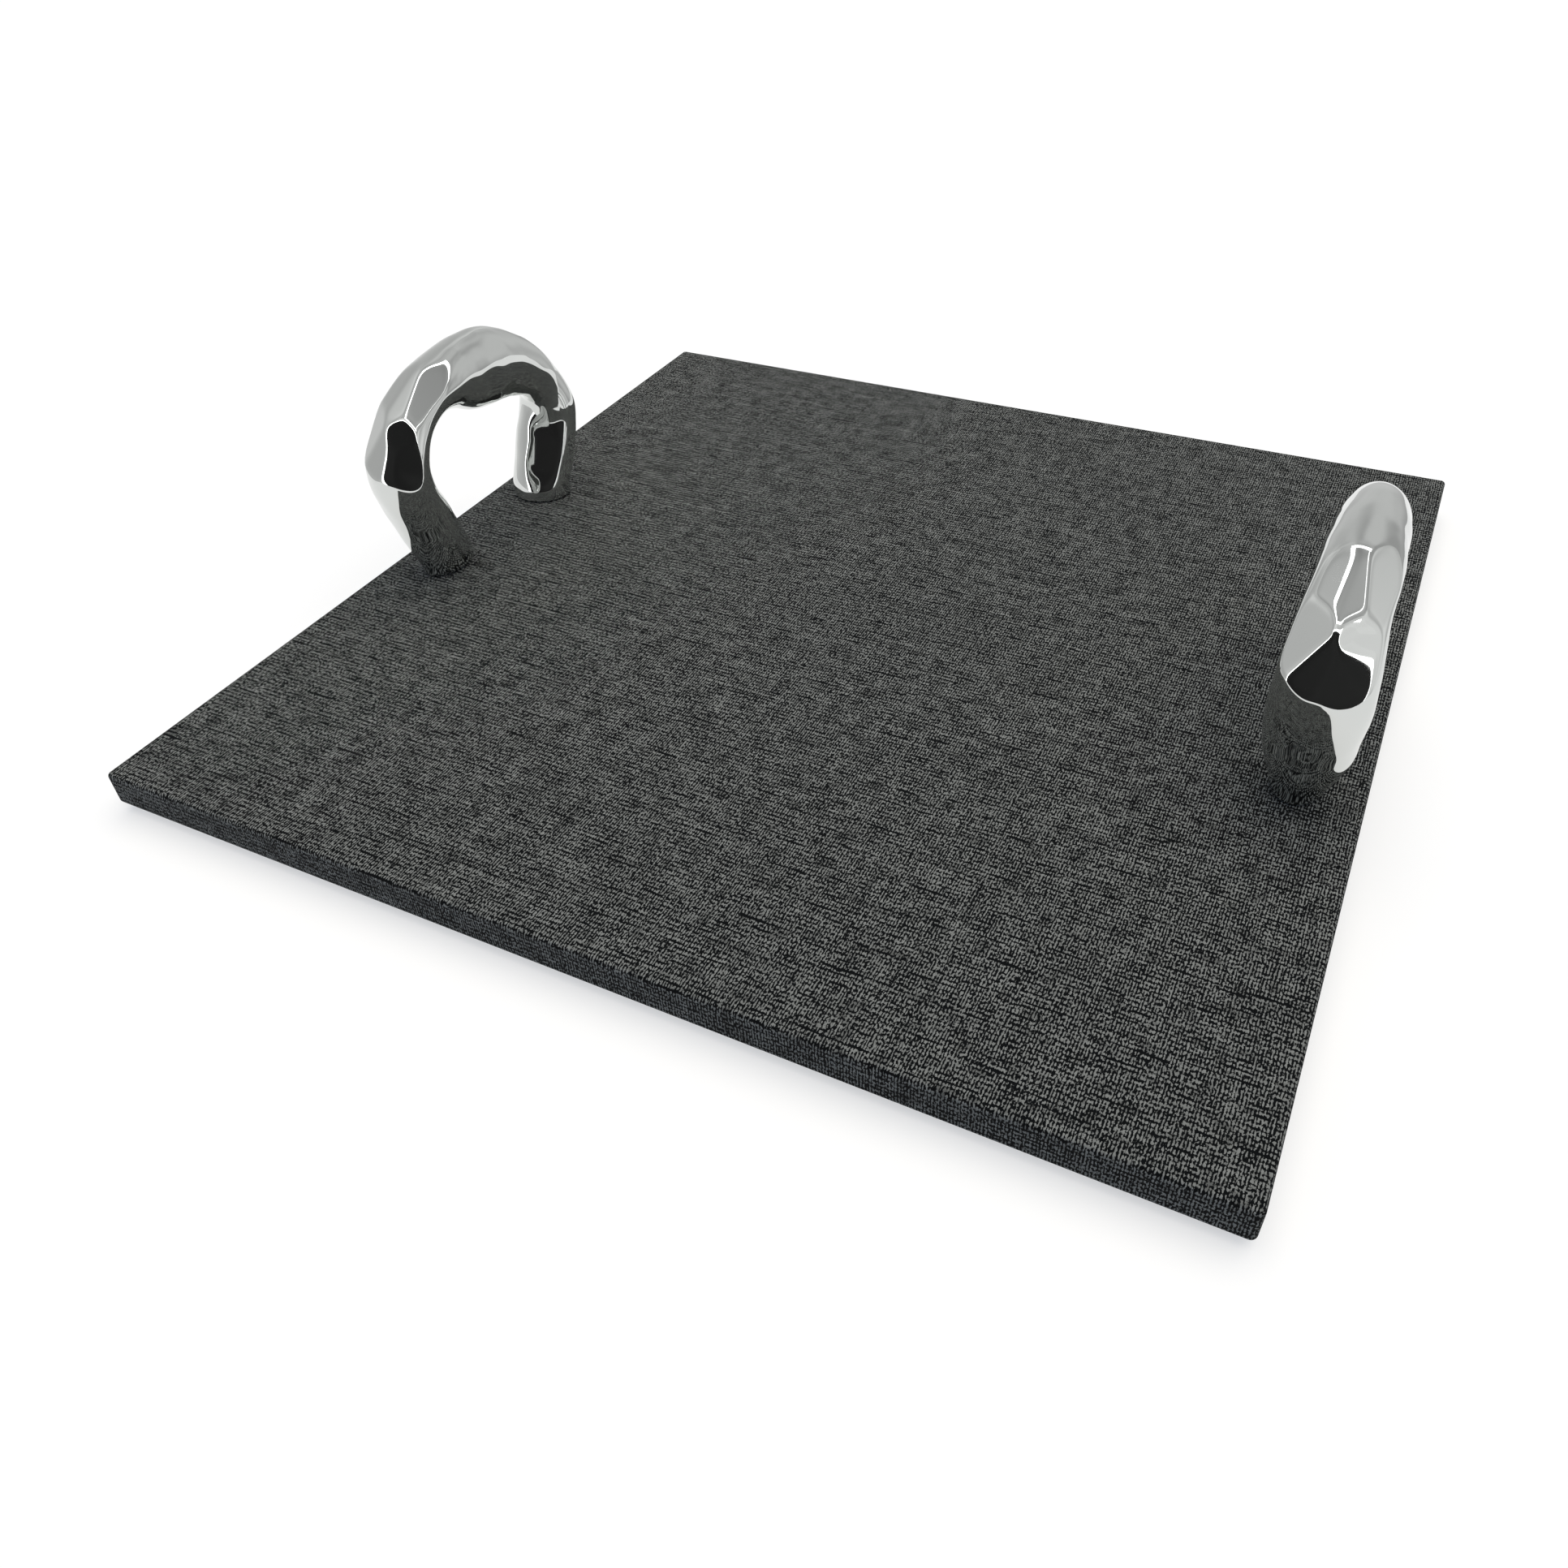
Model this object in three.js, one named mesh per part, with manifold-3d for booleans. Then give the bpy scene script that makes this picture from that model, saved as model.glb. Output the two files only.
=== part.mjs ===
// A flat serving tray: a square fibreboard panel wrapped in leatherette with a woven grain,
// lined with felt underneath, standing on four pads, with two cast arch handles that are
// screwed on from below. Millimetres, +Z up, +X from the left handle to the right one.
// The origin is on the table, under the middle of the board.

import * as THREE from 'three';
import { mergeVertices } from 'three/addons/utils/BufferGeometryUtils.js';
import Module from 'manifold-3d';

const wasm = await Module();
wasm.setup();

// Board: a core, and the leatherette that is glued over its top and edges and turned under
const BOARD_LENGTH = 400;
const BOARD_DEPTH = 400;
const CORE_THICKNESS = 12;
const CORE_EDGE_RADIUS = 0.9;
const FLAT_CORNER_RADIUS = 1.4;
const LEATHERETTE_THICKNESS = 0.6;
const GLUE_LINE = 0.1;
const HEM_WIDTH = 14;

// Felt lining: it fills the window in the hem and laps over the hem's raw edge
const LINING_THICKNESS = 1;
const LINING_MARGIN = 6;
const LINING_CORNER_RADIUS = 5;
const WINDOW_CLEARANCE = 0.3;

// Foot pads, stuck to the lining
const PAD_DIAMETER = 16;
const PAD_HEIGHT = 2.5;
const PAD_EDGE = 0.6;
const PAD_INSET = 40;

// Screws with their washers, sunk into the core from below
const SCREW_DIAMETER = 5;
const SCREW_HEAD_DIAMETER = 9.5;
const SCREW_HEAD_HEIGHT = 3.6;
const SCREW_TIP = 0.8;
const CROSS_LENGTH = 5;
const CROSS_WIDTH = 1;
const CROSS_DEPTH = 1.6;
const WASHER_DIAMETER = 11;
const WASHER_THICKNESS = 1;
const THREAD_ENGAGEMENT = 11;
const HEAD_RECESS = 0.3;
const SHANK_CLEARANCE = 0.3;
const THREAD_CLEARANCE = 0.1;
const WASHER_CLEARANCE = 0.4;
const TIP_CLEARANCE = 2;
const SEAT_GAP = 0.1;

// Handles: one bar bent into an arch that is drawn in towards its feet. Each station is a place
// on the bar's centre line, y along the board's edge and z above the board, with the bar's
// thickness in the plane of the arch and its width across that plane.
const HANDLE_INSET = 22.5;
const FRONT_FOOT = { y: -35, z: 0, thick: 26, wide: 18 };
const FRONT_KNEE = { y: -44, z: 23, thick: 21, wide: 29 };
const FRONT_HIP = { y: -51, z: 52, thick: 19, wide: 30 };
const FRONT_SHOULDER = { y: -30, z: 72, thick: 18, wide: 25 };
const CROWN = { y: 4, z: 70, thick: 32, wide: 24 };
const BACK_SHOULDER = { y: 28, z: 62, thick: 26, wide: 19 };
const BACK_HIP = { y: 42, z: 51, thick: 20, wide: 20 };
const BACK_KNEE = { y: 46, z: 34, thick: 20, wide: 28 };
const BACK_FOOT = { y: 31, z: 0, thick: 24, wide: 27 };
const HANDLE_STATIONS = [
  FRONT_FOOT, FRONT_KNEE, FRONT_HIP, FRONT_SHOULDER, CROWN,
  BACK_SHOULDER, BACK_HIP, BACK_KNEE, BACK_FOOT,
];
// The legs lean out as they rise, so the screws stand outside the middle of each foot
const SCREW_OUTSET = 2;

// Fineness of the round shapes
const HANDLE_SIDES = 20;
const HANDLE_STEPS = 44;
const ROUND_SIDES = 24;
const CORNER_STEPS = 4;
const EDGE_STEPS = 3;
const WELD = 1e-4;

// Levels, from the table up
const LINING_BOTTOM = PAD_HEIGHT + SEAT_GAP;
const WRAP_BOTTOM = LINING_BOTTOM + LINING_THICKNESS + GLUE_LINE;
const WRAP_GROWTH = GLUE_LINE + LEATHERETTE_THICKNESS;
const CORE_BOTTOM = WRAP_BOTTOM + WRAP_GROWTH;
const CORE_TOP = CORE_BOTTOM + CORE_THICKNESS;
const BOARD_TOP = CORE_TOP + WRAP_GROWTH;
const HANDLE_BASE = BOARD_TOP + SEAT_GAP;
const SINK_DEPTH = HEAD_RECESS + SCREW_HEAD_HEIGHT + SEAT_GAP + WASHER_THICKNESS + SEAT_GAP;
const SINK_FLOOR = CORE_BOTTOM + SINK_DEPTH;
const WASHER_BOTTOM = SINK_FLOOR - SEAT_GAP - WASHER_THICKNESS;
const HEAD_TOP = WASHER_BOTTOM - SEAT_GAP;
const SCREW_END = HANDLE_BASE + THREAD_ENGAGEMENT;

const WINDOW_LENGTH = BOARD_LENGTH - 2 * HEM_WIDTH;
const WINDOW_DEPTH = BOARD_DEPTH - 2 * HEM_WIDTH;

// Solids

function solidOf(geometry) {
  const bare = geometry.clone();
  bare.deleteAttribute('normal');
  bare.deleteAttribute('uv');
  const welded = mergeVertices(bare, WELD);
  const corners = welded.index.array;
  const triangles = [];
  for (let i = 0; i < corners.length; i += 3) {
    const [a, b, c] = corners.slice(i, i + 3);
    if (a !== b && b !== c && c !== a) triangles.push(a, b, c);
  }
  const mesh = new wasm.Mesh({
    numProp: 3,
    vertProperties: Float32Array.from(welded.attributes.position.array),
    triVerts: Uint32Array.from(triangles),
  });
  return new wasm.Manifold(mesh);
}

function geometryOf(solid) {
  const { vertProperties, triVerts } = solid.getMesh();
  const geometry = new THREE.BufferGeometry();
  geometry.setAttribute('position', new THREE.BufferAttribute(vertProperties, 3));
  geometry.setIndex(new THREE.BufferAttribute(triVerts, 1));
  geometry.computeVertexNormals();
  return geometry;
}

function roundedRectangle(length, depth, radius) {
  const x = length / 2 - radius;
  const y = depth / 2 - radius;
  const shape = new THREE.Shape();
  shape.absarc(x, y, radius, 0, Math.PI / 2);
  shape.absarc(-x, y, radius, Math.PI / 2, Math.PI);
  shape.absarc(-x, -y, radius, Math.PI, 1.5 * Math.PI);
  shape.absarc(x, -y, radius, 1.5 * Math.PI, 2 * Math.PI);
  return shape;
}

function plate(length, depth, radius, bottom, top) {
  const shape = roundedRectangle(length, depth, radius);
  const geometry = new THREE.ExtrudeGeometry(shape, {
    depth: top - bottom,
    bevelEnabled: false,
    curveSegments: CORNER_STEPS,
  });
  return solidOf(geometry.translate(0, 0, bottom));
}

// The core, grown by the same amount all round
function grownCore(growth) {
  const flatLength = BOARD_LENGTH - 2 * (WRAP_GROWTH + CORE_EDGE_RADIUS);
  const flatDepth = BOARD_DEPTH - 2 * (WRAP_GROWTH + CORE_EDGE_RADIUS);
  const edge = CORE_EDGE_RADIUS + growth;
  const geometry = new THREE.ExtrudeGeometry(
    roundedRectangle(flatLength, flatDepth, FLAT_CORNER_RADIUS),
    {
      depth: CORE_THICKNESS - 2 * CORE_EDGE_RADIUS,
      bevelEnabled: true,
      bevelThickness: edge,
      bevelSize: edge,
      bevelSegments: EDGE_STEPS,
      curveSegments: CORNER_STEPS,
    },
  );
  return solidOf(geometry.translate(0, 0, CORE_BOTTOM + CORE_EDGE_RADIUS));
}

function turned(profile) {
  const points = profile.map(([radius, z]) => new THREE.Vector2(radius, z));
  const geometry = new THREE.LatheGeometry(points, ROUND_SIDES);
  return solidOf(geometry.rotateX(Math.PI / 2));
}

function cylinder(diameter, bottom, top) {
  return turned([[0, bottom], [diameter / 2, bottom], [diameter / 2, top], [0, top]]);
}

function box(length, depth, bottom, top) {
  const geometry = new THREE.BoxGeometry(length, depth, top - bottom);
  return solidOf(geometry.translate(0, 0, (bottom + top) / 2));
}

function cutAt(solid, cutter, places) {
  return places.reduce((rest, { x, y }) => rest.subtract(cutter.translate([x, y, 0])), solid);
}

// Where things stand on the board

const handleX = BOARD_LENGTH / 2 - HANDLE_INSET;
const HANDLE_PLACES = [
  { name: 'left', x: -handleX },
  { name: 'right', x: handleX },
];
const FOOT_SCREWS = [
  { name: 'front', y: FRONT_FOOT.y - SCREW_OUTSET },
  { name: 'back', y: BACK_FOOT.y + SCREW_OUTSET },
];
const SCREW_PLACES = HANDLE_PLACES.flatMap((handle) =>
  FOOT_SCREWS.map((foot) => ({ name: `${handle.name}_${foot.name}`, x: handle.x, y: foot.y })),
);
const padX = BOARD_LENGTH / 2 - PAD_INSET;
const padY = BOARD_DEPTH / 2 - PAD_INSET;
const PAD_PLACES = [
  { name: 'left_front', x: -padX, y: -padY },
  { name: 'left_back', x: -padX, y: padY },
  { name: 'right_front', x: padX, y: -padY },
  { name: 'right_back', x: padX, y: padY },
];

// Pieces

function coreBoard() {
  const shank = SCREW_DIAMETER + SHANK_CLEARANCE;
  const sink = WASHER_DIAMETER + WASHER_CLEARANCE;
  const below = CORE_BOTTOM - 1;
  const above = CORE_TOP + 1;
  const bore = turned([
    [0, below],
    [sink / 2, below],
    [sink / 2, SINK_FLOOR],
    [shank / 2, SINK_FLOOR],
    [shank / 2, above],
    [0, above],
  ]);
  return cutAt(grownCore(0), bore, SCREW_PLACES);
}

function leatheretteCover() {
  const shell = grownCore(WRAP_GROWTH).subtract(grownCore(GLUE_LINE));
  const window = plate(
    WINDOW_LENGTH, WINDOW_DEPTH, LINING_CORNER_RADIUS, WRAP_BOTTOM - 1, CORE_BOTTOM + 1,
  );
  const hole = cylinder(SCREW_DIAMETER + SHANK_CLEARANCE, CORE_TOP - 1, BOARD_TOP + 1);
  return cutAt(shell.subtract(window), hole, SCREW_PLACES);
}

function undersideLining() {
  const sheet = plate(
    BOARD_LENGTH - 2 * LINING_MARGIN,
    BOARD_DEPTH - 2 * LINING_MARGIN,
    LINING_CORNER_RADIUS,
    LINING_BOTTOM,
    LINING_BOTTOM + LINING_THICKNESS,
  );
  const step = plate(
    WINDOW_LENGTH - 2 * WINDOW_CLEARANCE,
    WINDOW_DEPTH - 2 * WINDOW_CLEARANCE,
    LINING_CORNER_RADIUS,
    LINING_BOTTOM,
    CORE_BOTTOM - GLUE_LINE,
  );
  return sheet.add(step);
}

function footPad() {
  const radius = PAD_DIAMETER / 2;
  return turned([
    [0, 0],
    [radius - PAD_EDGE, 0],
    [radius, PAD_EDGE],
    [radius, PAD_HEIGHT],
    [0, PAD_HEIGHT],
  ]);
}

function screw() {
  const head = SCREW_HEAD_DIAMETER / 2;
  const shank = SCREW_DIAMETER / 2;
  const headBottom = HEAD_TOP - SCREW_HEAD_HEIGHT;
  const crown = SCREW_HEAD_HEIGHT / 3;
  const body = turned([
    [0, headBottom],
    [head - crown, headBottom],
    [head, headBottom + crown],
    [head, HEAD_TOP],
    [shank, HEAD_TOP],
    [shank, SCREW_END - SCREW_TIP],
    [shank - SCREW_TIP, SCREW_END],
    [0, SCREW_END],
  ]);
  const slot = box(CROSS_LENGTH, CROSS_WIDTH, headBottom - 1, headBottom + CROSS_DEPTH);
  return body.subtract(slot).subtract(slot.rotate([0, 0, 90]));
}

function washer() {
  const hole = (SCREW_DIAMETER + SHANK_CLEARANCE) / 2;
  const rim = WASHER_DIAMETER / 2;
  const top = WASHER_BOTTOM + WASHER_THICKNESS;
  return turned([
    [hole, WASHER_BOTTOM],
    [rim, WASHER_BOTTOM],
    [rim, top],
    [hole, top],
    [hole, WASHER_BOTTOM],
  ]);
}

// One closed skin over rings that have as many points each, with flat ends
function skinOver(rings) {
  const sides = rings[0].length;
  const last = (rings.length - 1) * sides;
  const faces = [];
  for (let ring = 0; ring < last; ring += sides) {
    for (let side = 0; side < sides; side += 1) {
      const next = (side + 1) % sides;
      faces.push(ring + side, ring + next, ring + sides + next);
      faces.push(ring + side, ring + sides + next, ring + sides + side);
    }
  }
  for (let side = 1; side < sides - 1; side += 1) {
    faces.push(0, side + 1, side);
    faces.push(last, last + side, last + side + 1);
  }
  const geometry = new THREE.BufferGeometry().setFromPoints(rings.flat());
  geometry.setIndex(faces);
  return solidOf(geometry);
}

// An oval ring across the bar, whose first point is on the outside of the arch
function barRing(centre, direction, thick, wide) {
  const ring = [];
  for (let side = 0; side < HANDLE_SIDES; side += 1) {
    const angle = (2 * Math.PI * side) / HANDLE_SIDES;
    const out = (thick / 2) * Math.cos(angle);
    const across = (wide / 2) * Math.sin(angle);
    ring.push(new THREE.Vector3(
      across,
      centre.y - out * direction.z,
      centre.z + out * direction.y,
    ));
  }
  return ring;
}

function handle() {
  const line = new THREE.CatmullRomCurve3(
    HANDLE_STATIONS.map(({ y, z }) => new THREE.Vector3(0, y, z)), false, 'catmullrom',
  );
  const section = new THREE.CatmullRomCurve3(
    HANDLE_STATIONS.map(({ thick, wide }) => new THREE.Vector3(thick, wide, 0)), false, 'catmullrom',
  );
  const rings = [];
  for (let step = 0; step <= HANDLE_STEPS; step += 1) {
    const t = step / HANDLE_STEPS;
    const { x: thick, y: wide } = section.getPoint(t);
    rings.push(barRing(line.getPoint(t), line.getTangent(t), thick, wide));
  }
  // Both ends run on below the board and are cut off level with it
  const runOn = (t, along, { thick, wide }) => {
    const direction = line.getTangent(t);
    const centre = line.getPoint(t).addScaledVector(direction, along * thick);
    return barRing(centre, direction, thick, wide);
  };
  rings.unshift(runOn(0, -1, FRONT_FOOT));
  rings.push(runOn(1, 1, BACK_FOOT));
  const below = 2 * Math.max(FRONT_FOOT.thick, BACK_FOOT.thick);
  const reach = 2 * (BACK_KNEE.y - FRONT_HIP.y);
  const bar = skinOver(rings).subtract(box(reach, reach, -below, 0));
  const thread = cylinder(
    SCREW_DIAMETER + THREAD_CLEARANCE, -1, THREAD_ENGAGEMENT + TIP_CLEARANCE,
  );
  return cutAt(bar, thread, FOOT_SCREWS.map(({ y }) => ({ x: 0, y })));
}

// Finishes

const FINISHES = {
  fibreboard: { color: '#a1825f', roughness: 0.9, metalness: 0 },
  leatherette: { color: '#454544', roughness: 0.75, metalness: 0 },
  felt: { color: '#1f1f21', roughness: 1, metalness: 0 },
  rubber: { color: '#161617', roughness: 0.8, metalness: 0 },
  zinc: { color: '#b4b7ba', roughness: 0.35, metalness: 1 },
  chrome: { color: '#d9dbdc', roughness: 0.05, metalness: 1 },
};

// Assembly

const tray = new THREE.Group();

function place(name, solid, finish, x = 0, y = 0, z = 0) {
  const material = new THREE.MeshStandardMaterial(FINISHES[finish]);
  const mesh = new THREE.Mesh(geometryOf(solid), material);
  mesh.name = name;
  mesh.position.set(x, y, z);
  tray.add(mesh);
}

place('core_board', coreBoard(), 'fibreboard');
place('leatherette_cover', leatheretteCover(), 'leatherette');
place('underside_lining', undersideLining(), 'felt');
for (const { name, x } of HANDLE_PLACES) {
  place(`handle_${name}`, handle(), 'chrome', x, 0, HANDLE_BASE);
}
for (const { name, x, y } of SCREW_PLACES) {
  place(`handle_screw_${name}`, screw(), 'zinc', x, y);
  place(`screw_washer_${name}`, washer(), 'zinc', x, y);
}
for (const { name, x, y } of PAD_PLACES) {
  place(`foot_pad_${name}`, footPad(), 'rubber', x, y);
}

export default tray;
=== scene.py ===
# %% [markdown]
# # A flat serving tray with two cast handles
# The tray is a square board, wrapped in a leatherette that is pressed to look like coarse linen,
# with a bright cast arch at each end. The frame brings in the measured solids. This lesson dresses
# them: each visible piece is made again with its real roundings, and each surface gets a finish
# that is built from nodes.

# %% Load the measured frame
import math
from itertools import product

import bmesh
import bpy
from mathutils import Matrix, Vector


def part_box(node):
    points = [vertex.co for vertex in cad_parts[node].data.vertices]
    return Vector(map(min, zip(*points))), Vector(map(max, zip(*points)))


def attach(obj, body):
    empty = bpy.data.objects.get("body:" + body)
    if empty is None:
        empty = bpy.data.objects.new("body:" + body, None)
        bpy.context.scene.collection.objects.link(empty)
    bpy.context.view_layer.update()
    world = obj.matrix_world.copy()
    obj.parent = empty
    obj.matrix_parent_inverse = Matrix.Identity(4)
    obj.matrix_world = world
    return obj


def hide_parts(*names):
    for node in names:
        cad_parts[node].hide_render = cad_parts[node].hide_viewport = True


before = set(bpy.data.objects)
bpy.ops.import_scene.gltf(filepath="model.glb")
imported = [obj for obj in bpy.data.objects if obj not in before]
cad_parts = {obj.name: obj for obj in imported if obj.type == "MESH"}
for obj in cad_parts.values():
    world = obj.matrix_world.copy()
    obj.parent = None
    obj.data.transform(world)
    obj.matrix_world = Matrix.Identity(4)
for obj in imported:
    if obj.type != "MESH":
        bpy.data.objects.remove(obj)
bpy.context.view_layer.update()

MM = 0.001

# %% [markdown]
# ## The camera
# A wide lens stands close to the near corner, so the board's far edge looks much shorter than the
# near one. The board's own outline gives the lens and the angles: a square seen in perspective
# allows only one answer. The small shift puts the middle of the view where the photograph has it.

# %% Camera
IMAGE_SIDE = 1932
FOCAL_PIXELS = 1549.2
VIEW_CENTRE_PIXEL = 1002.0
SENSOR_WIDTH = 36.0
CAMERA_AZIMUTH = 28.001
CAMERA_ELEVATION = 41.176
CAMERA_ROLL = -2.625
CAMERA_PLACE = Vector((181.3, -386.0, 297.4)) * MM
NEAREST_SEEN = 10 * MM


def add_object(name, data):
    thing = bpy.data.objects.new(name, data)
    bpy.context.collection.objects.link(thing)
    return thing


def make_camera():
    data = bpy.data.cameras.new("camera")
    data.sensor_width = SENSOR_WIDTH
    data.lens = FOCAL_PIXELS * SENSOR_WIDTH / IMAGE_SIDE
    data.shift_x = 0.5 - VIEW_CENTRE_PIXEL / IMAGE_SIDE
    data.clip_start = NEAREST_SEEN
    azimuth, elevation = math.radians(CAMERA_AZIMUTH), math.radians(CAMERA_ELEVATION)
    back = Vector((
        math.sin(azimuth) * math.cos(elevation),
        -math.cos(azimuth) * math.cos(elevation),
        math.sin(elevation),
    ))
    right = Vector((math.cos(azimuth), math.sin(azimuth), 0.0))
    level = Matrix((right, back.cross(right), back)).transposed()
    roll = Matrix.Rotation(math.radians(CAMERA_ROLL), 3, "Z")
    camera = add_object("camera", data)
    camera.matrix_world = Matrix.Translation(CAMERA_PLACE) @ (level @ roll).to_4x4()
    bpy.context.scene.camera = camera
    return camera


camera = make_camera()
bpy.context.scene.view_settings.view_transform = "Standard"
print("lens", round(camera.data.lens, 2), "mm, shift", round(camera.data.shift_x, 4))

# %% [markdown]
# ## Writing node trees as sums
# A node tree is a chain of small sums, and wiring it by hand takes a line for every cable. This
# helper adds one node with each call and gives back its output, so a pattern reads like a formula.
# It serves shader trees and Geometry Nodes alike.

# %% Node helper


class Nodes:
    """Writes a node tree: each call adds a node, wires its inputs and returns its output."""

    def __init__(self, tree):
        self.tree = tree

    def add(self, kind, inputs=None, **settings):
        node = self.tree.nodes.new(kind)
        for name, value in settings.items():
            setattr(node, name, value)
        for key, value in (inputs or {}).items():
            self.feed(node.inputs[key], value)
        return node

    def feed(self, socket, value):
        if isinstance(value, bpy.types.NodeSocket):
            self.tree.links.new(value, socket)
        else:
            socket.default_value = value

    def math(self, operation, *values, clamp=False):
        node = self.add("ShaderNodeMath", dict(enumerate(values)), operation=operation)
        node.use_clamp = clamp
        return node.outputs[0]

    def vector(self, operation, *values):
        node = self.add("ShaderNodeVectorMath", operation=operation)
        for socket, value in zip(node.inputs, values):
            self.feed(socket, value)
        return node.outputs["Value" if operation in ("LENGTH", "DOT_PRODUCT") else "Vector"]

    def scaled(self, vector, factor):
        node = self.add("ShaderNodeVectorMath", {0: vector, "Scale": factor}, operation="SCALE")
        return node.outputs["Vector"]

    def step(self, value, start, end, low=0.0, high=1.0):
        """A smooth step from low, at start, to high, at end."""
        inputs = {"Value": value, "From Min": start, "From Max": end, "To Min": low, "To Max": high}
        node = self.add("ShaderNodeMapRange", inputs, interpolation_type="SMOOTHSTEP")
        return node.outputs["Result"]

    def split(self, vector):
        return self.add("ShaderNodeSeparateXYZ", {0: vector}).outputs

    def join(self, x, y, z=0.0):
        return self.add("ShaderNodeCombineXYZ", {0: x, 1: y, 2: z}).outputs[0]

    def noise(self, place, scale, detail=1.0, dimensions="2D"):
        inputs = {"Vector": place, "Scale": scale, "Detail": detail}
        return self.add("ShaderNodeTexNoise", inputs, noise_dimensions=dimensions).outputs[0]

    def mix(self, factor, first, second, blend="MIX"):
        # A Mix node has sockets for each kind of value, and these are the ones for colours
        node = self.add("ShaderNodeMix", {0: factor, 6: first, 7: second}, data_type="RGBA")
        node.blend_type = blend
        return node.outputs[2]


print("node helper ready")

# %% Groups and materials


def new_group(name, kind, inputs, outputs):
    """An empty node group with named sockets, as {name: (type, default)} and {name: type}."""
    tree = bpy.data.node_groups.new(name, kind)
    for title, (socket, default) in inputs.items():
        made = tree.interface.new_socket(title, in_out="INPUT", socket_type="NodeSocket" + socket)
        if default is not None:
            made.default_value = default
    for title, socket in outputs.items():
        tree.interface.new_socket(title, in_out="OUTPUT", socket_type="NodeSocket" + socket)
    nodes = Nodes(tree)
    return nodes, nodes.add("NodeGroupInput").outputs, nodes.add("NodeGroupOutput").inputs


def use_group(nodes, group, **inputs):
    node = nodes.add("ShaderNodeGroup", node_tree=group)
    for title, value in inputs.items():
        nodes.feed(node.inputs[title.replace("_", " ")], value)
    return node.outputs


def empty_material(name):
    material = bpy.data.materials.new(name)
    material.use_nodes = True
    material.node_tree.nodes.clear()
    return material, Nodes(material.node_tree)


def new_material(name):
    """A material with the Principled shader, whose inputs are the last thing given back."""
    material, nodes = empty_material(name)
    shader = nodes.add("ShaderNodeBsdfPrincipled")
    nodes.add("ShaderNodeOutputMaterial", {"Surface": shader.outputs[0]})
    return material, nodes, shader.inputs


print("helpers for groups and materials ready")

# %% [markdown]
# ## The woven grain
# Leatherette is a smooth film on a backing, embossed with a roller, so its linen is only a relief.
# The shade in its hollows is painted into the colour, nearly black. A picture of cloth would repeat
# and go soft up close, so the pattern is written as sums instead. It is a plain weave: yarns run
# both ways, and each goes over one crossing and under the next, which two waves in opposite step
# give. Each yarn drifts and swells slowly along its length, as spun flax does. Here and there two
# crosswise yarns part, and the shade in the gap between them is painted as a long dark dash.

# %% Yarns
WARP_PITCH = 0.953 * MM
WEFT_PITCH = 1.8 * MM
# Steps in the noise from one yarn to the next, wide enough that neighbours differ
YARN_APART = 3.7


def yarn_height(nodes, across, along, swells, thin, fat, level, swing):
    """Height of one set of yarns, which swell slowly and dip where others cross over them."""
    number = nodes.math("FLOOR", across)
    place = nodes.vector("MULTIPLY", nodes.join(number, along), (YARN_APART, swells, 1.0))
    half_width = nodes.step(nodes.noise(place, 1.0, 2.0), 0.3, 0.7, thin, fat)
    middle = nodes.math("SUBTRACT", nodes.math("FRACT", across), 0.5)
    ratio = nodes.math("DIVIDE", middle, half_width)
    round_back = nodes.math("SUBTRACT", level, nodes.math("MULTIPLY", ratio, ratio))
    side = nodes.math("MULTIPLY_ADD", nodes.math("FLOORED_MODULO", number, 2.0), -2.0, 1.0)
    wave = nodes.math("COSINE", nodes.math("MULTIPLY_ADD", along, math.pi, -math.pi / 2))
    dip = nodes.math("MULTIPLY", nodes.math("MULTIPLY", wave, side), swing)
    return nodes.math("ADD", round_back, dip)


print("yarns", round(WARP_PITCH / MM, 2), "by", round(WEFT_PITCH / MM, 2), "mm apart")

# %% Woven grain group
# Dashes to a warp yarn, and steps in their noise from one weft yarn to the next
DASHES_PER_WARP = 0.07
DASH_APART = 0.83


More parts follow.
